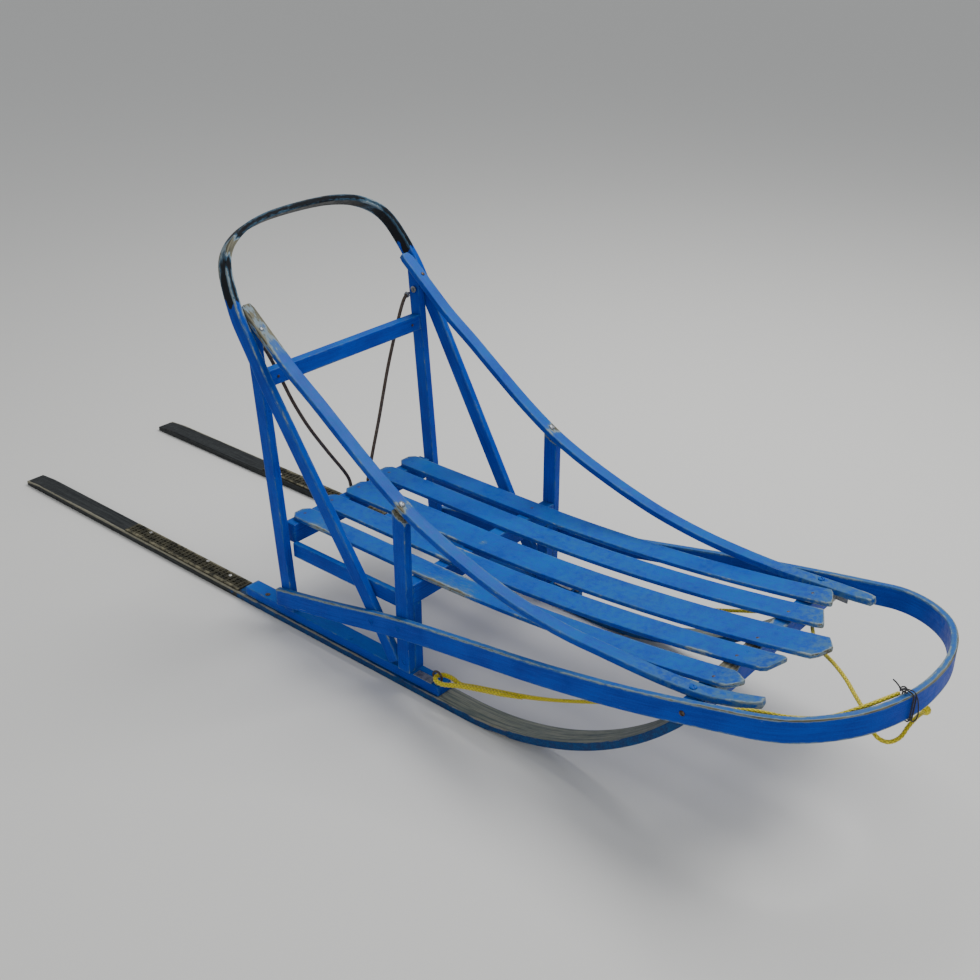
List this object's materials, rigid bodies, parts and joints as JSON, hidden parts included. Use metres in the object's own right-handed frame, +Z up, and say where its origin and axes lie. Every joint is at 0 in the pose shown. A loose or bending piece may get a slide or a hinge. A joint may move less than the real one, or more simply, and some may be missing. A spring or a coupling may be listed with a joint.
{
  "type": "basket dog sled",
  "caption": "Wooden basket sled with turned-up runners, slatted deck, sloping side rails, a bent brush bow, a bent handlebar, foot treads and a rope tow line.",
  "frame": {"origin": "on the floor under the middle of the sled's overall box", "axes": "+X forwards to the brush bow, +Y to the sled's left, +Z up"},
  "size_m": [2.4262, 0.556, 0.8802],
  "materials": {
    "blue_paint": "brushed satin blue paint on ash, chipped to grey wood and pale primer along the edges; the grip of the handlebar is painted black",
    "runner_wood": "dark weathered plank, once painted, blue at the front and bare grey on the turned-up nose",
    "tread_rubber": "dark grey perforated rubber strip",
    "steel": "dull zinc-coated steel hardware",
    "rusty_steel": "brown rusted steel rod and bolt heads",
    "tow_rope": "braided yellow polypropylene rope",
    "tie_cord": "thin black cord"
  },
  "bodies": {
    "root": {"bow_front_bolt_left": "rusty_steel", "bow_front_bolt_right": "rusty_steel", "bow_leg_bolt_left": "rusty_steel", "bow_leg_bolt_right": "rusty_steel", "bow_post_bolt_left": "rusty_steel", "bow_post_bolt_right": "rusty_steel", "bow_tie": "tie_cord", "brace_rod_left": "rusty_steel", "brace_rod_right": "rusty_steel", "brush_bow": "blue_paint", "cap_middle_bolt_left": "steel", "cap_middle_bolt_right": "steel", "cap_plate_left": "steel", "cap_plate_right": "steel", "cap_rear_bolt_left": "steel", "cap_rear_bolt_right": "steel", "crosspiece_front": "blue_paint", "crosspiece_middle": "blue_paint", "crosspiece_rear": "blue_paint", "eyebolt_left": "steel", "eyebolt_right": "steel", "foot_tread_left": "tread_rubber", "foot_tread_right": "tread_rubber", "front_post_block_left": "blue_paint", "front_post_block_right": "blue_paint", "front_stanchion_left": "blue_paint", "front_stanchion_right": "blue_paint", "handlebar": "blue_paint", "handlebar_bolt_left": "steel", "handlebar_bolt_right": "steel", "lower_side_bar_left": "blue_paint", "lower_side_bar_right": "blue_paint", "nose_bracket_left": "steel", "nose_bracket_right": "steel", "post_foot_bolt_left": "rusty_steel", "post_foot_bolt_right": "rusty_steel", "rail_front_bolt_left": "steel", "rail_front_bolt_right": "steel", "rail_post_bolt_left": "steel", "rail_post_bolt_right": "steel", "rail_rear_bolt_left": "steel", "rail_rear_bolt_right": "steel", "rear_stanchion_left": "blue_paint", "rear_stanchion_right": "blue_paint", "rope_knot": "tow_rope", "runner_cap_left": "blue_paint", "runner_cap_right": "blue_paint", "runner_left": "runner_wood", "runner_right": "runner_wood", "side_rail_left": "blue_paint", "side_rail_right": "blue_paint", "slat_left_inner": "blue_paint", "slat_left_outer": "blue_paint", "slat_middle": "blue_paint", "slat_right_inner": "blue_paint", "slat_right_outer": "blue_paint", "tow_rope_left": "tow_rope", "tow_rope_right": "tow_rope", "upper_crossbar": "blue_paint"}
  },
  "joints": []
}
